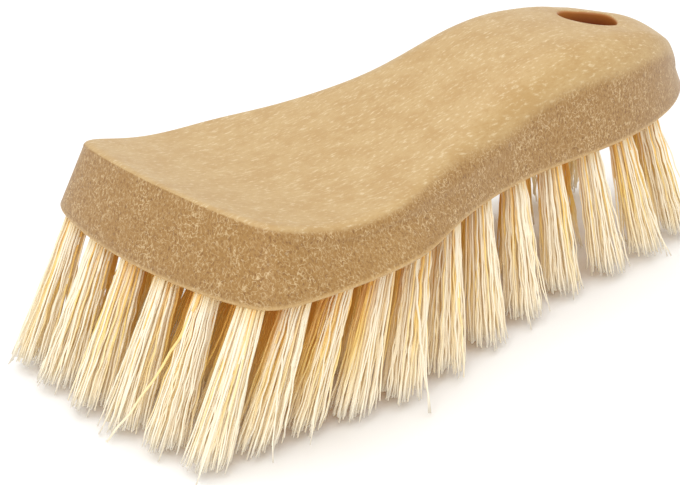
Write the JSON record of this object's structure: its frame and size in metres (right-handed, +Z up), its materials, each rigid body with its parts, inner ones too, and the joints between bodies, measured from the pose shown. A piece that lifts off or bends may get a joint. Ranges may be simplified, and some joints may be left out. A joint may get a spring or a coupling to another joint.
{
  "type": "wheel scrub brush",
  "caption": "Hand brush for wheels: a waisted block with a squared toe, thumb dip, swelling palm and hanging hole, over slanted tufts of pale crimped bristle",
  "frame": {"origin": "middle of the brush's footprint, on the plane that the bristle tips stand on", "axes": "+Z up through the block, -Y towards the squared toe, +Y towards the rounded heel, X across the block"},
  "size_m": [0.0724, 0.1648, 0.0509],
  "materials": {
    "block": "moulded tan plastic with a fine speckled grain",
    "bristle": "cream plant-fibre bristles, crimped and trimmed level",
    "staple": "bright flat steel wire"
  },
  "bodies": {
    "root": {"block": "block", "staples": "staple", "tuft_r1_c1": "bristle", "tuft_r1_c2": "bristle", "tuft_r1_c3": "bristle", "tuft_r1_c4": "bristle", "tuft_r1_c5": "bristle", "tuft_r1_c6": "bristle", "tuft_r2_c1": "bristle", "tuft_r2_c2": "bristle", "tuft_r2_c3": "bristle", "tuft_r2_c4": "bristle", "tuft_r2_c5": "bristle", "tuft_r2_c6": "bristle", "tuft_r3_c1": "bristle", "tuft_r3_c2": "bristle", "tuft_r3_c3": "bristle", "tuft_r3_c4": "bristle", "tuft_r3_c5": "bristle", "tuft_r3_c6": "bristle", "tuft_r4_c1": "bristle", "tuft_r4_c2": "bristle", "tuft_r4_c3": "bristle", "tuft_r4_c4": "bristle", "tuft_r4_c5": "bristle", "tuft_r4_c6": "bristle", "tuft_r5_c1": "bristle", "tuft_r5_c2": "bristle", "tuft_r5_c3": "bristle", "tuft_r5_c4": "bristle", "tuft_r5_c5": "bristle", "tuft_r6_c1": "bristle", "tuft_r6_c2": "bristle", "tuft_r6_c3": "bristle", "tuft_r6_c4": "bristle", "tuft_r6_c5": "bristle", "tuft_r7_c1": "bristle", "tuft_r7_c2": "bristle", "tuft_r7_c3": "bristle", "tuft_r7_c4": "bristle", "tuft_r8_c1": "bristle", "tuft_r8_c2": "bristle", "tuft_r8_c3": "bristle", "tuft_r8_c4": "bristle", "tuft_r9_c1": "bristle", "tuft_r9_c2": "bristle", "tuft_r9_c3": "bristle", "tuft_r9_c4": "bristle", "tuft_r10_c1": "bristle", "tuft_r10_c2": "bristle", "tuft_r10_c3": "bristle", "tuft_r10_c4": "bristle", "tuft_r11_c1": "bristle", "tuft_r11_c4": "bristle", "tuft_r12_c1": "bristle", "tuft_r12_c3": "bristle", "tuft_r13_c1": "bristle"}
  },
  "joints": []
}
